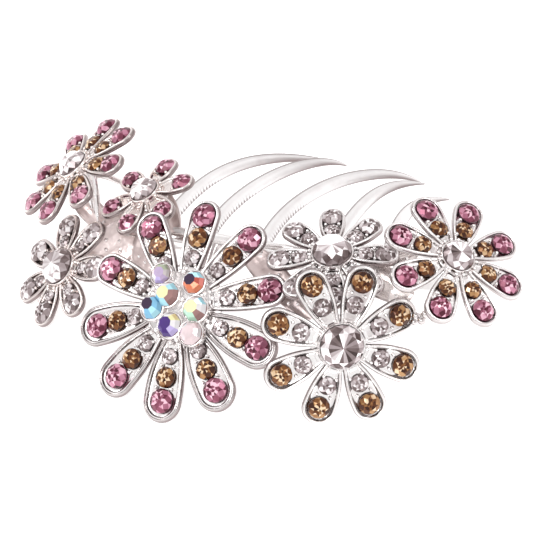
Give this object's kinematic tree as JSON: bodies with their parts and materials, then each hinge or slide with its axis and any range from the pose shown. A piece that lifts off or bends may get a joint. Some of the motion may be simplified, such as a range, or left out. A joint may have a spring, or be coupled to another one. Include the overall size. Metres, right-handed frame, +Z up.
{
  "type": "decorative hair comb",
  "caption": "Curved metal hair comb with slender tapering tines, topped by rhinestone daisy flowers of several sizes on a branch frame.",
  "frame": {"origin": "bottom centre of the comb's box, on the surface that it lies on with its flowers up", "axes": "+Z up from the surface it lies on, +X along the row of flowers, +Y from the lowest flowers towards the tine tips"},
  "size_m": [0.0714, 0.0556, 0.0222],
  "materials": {
    "plated_silver": "bright silver plating on a cast alloy, polished, slightly warm",
    "pink_stone": "faceted foil-backed rose pink glass",
    "topaz_stone": "faceted foil-backed golden brown glass",
    "clear_stone": "faceted foil-backed clear glass",
    "iridescent_stone": "faceted glass with a rainbow coating"
  },
  "bodies": {
    "root": {"amber_flower_casting": "plated_silver", "amber_flower_centre_stone": "clear_stone", "amber_flower_stones_01": "topaz_stone", "amber_flower_stones_02": "topaz_stone", "amber_flower_stones_03": "topaz_stone", "amber_flower_stones_04": "topaz_stone", "amber_flower_stones_05": "topaz_stone", "amber_flower_stones_06": "topaz_stone", "amber_flower_stones_07": "topaz_stone", "amber_flower_stones_08": "topaz_stone", "big_flower_casting": "plated_silver", "big_flower_stones_01": "pink_stone", "big_flower_stones_02": "pink_stone", "big_flower_stones_03": "pink_stone", "big_flower_stones_04": "pink_stone", "big_flower_stones_05": "pink_stone", "big_flower_stones_06": "pink_stone", "big_flower_stones_07": "pink_stone", "big_flower_stones_08": "pink_stone", "big_flower_stones_09": "pink_stone", "big_flower_stones_10": "pink_stone", "branch_frame": "plated_silver", "clear_flower_casting": "plated_silver", "clear_flower_centre_stone": "clear_stone", "clear_flower_stones_01": "clear_stone", "clear_flower_stones_02": "clear_stone", "clear_flower_stones_03": "clear_stone", "clear_flower_stones_04": "clear_stone", "clear_flower_stones_05": "clear_stone", "clear_flower_stones_06": "clear_stone", "clear_flower_stones_07": "clear_stone", "clear_flower_stones_08": "clear_stone", "cluster_stone_1": "iridescent_stone", "cluster_stone_2": "iridescent_stone", "cluster_stone_3": "iridescent_stone", "cluster_stone_4": "iridescent_stone", "cluster_stone_5": "iridescent_stone", "cluster_stone_6": "iridescent_stone", "cluster_stone_7": "iridescent_stone", "comb_casting": "plated_silver", "left_flower_casting": "plated_silver", "left_flower_centre_stone": "clear_stone", "left_flower_stone_ring": "clear_stone", "right_flower_casting": "plated_silver", "right_flower_centre_stone": "clear_stone", "right_flower_stones_01": "pink_stone", "right_flower_stones_02": "pink_stone", "right_flower_stones_03": "pink_stone", "right_flower_stones_04": "pink_stone", "right_flower_stones_05": "pink_stone", "right_flower_stones_06": "pink_stone", "right_flower_stones_07": "pink_stone", "right_flower_stones_08": "pink_stone", "small_pink_flower_casting": "plated_silver", "small_pink_flower_centre_stone": "clear_stone", "small_pink_flower_stone_ring": "pink_stone", "upper_left_flower_casting": "plated_silver", "upper_left_flower_centre_stone": "clear_stone", "upper_left_flower_stone_ring": "pink_stone"}
  },
  "joints": []
}
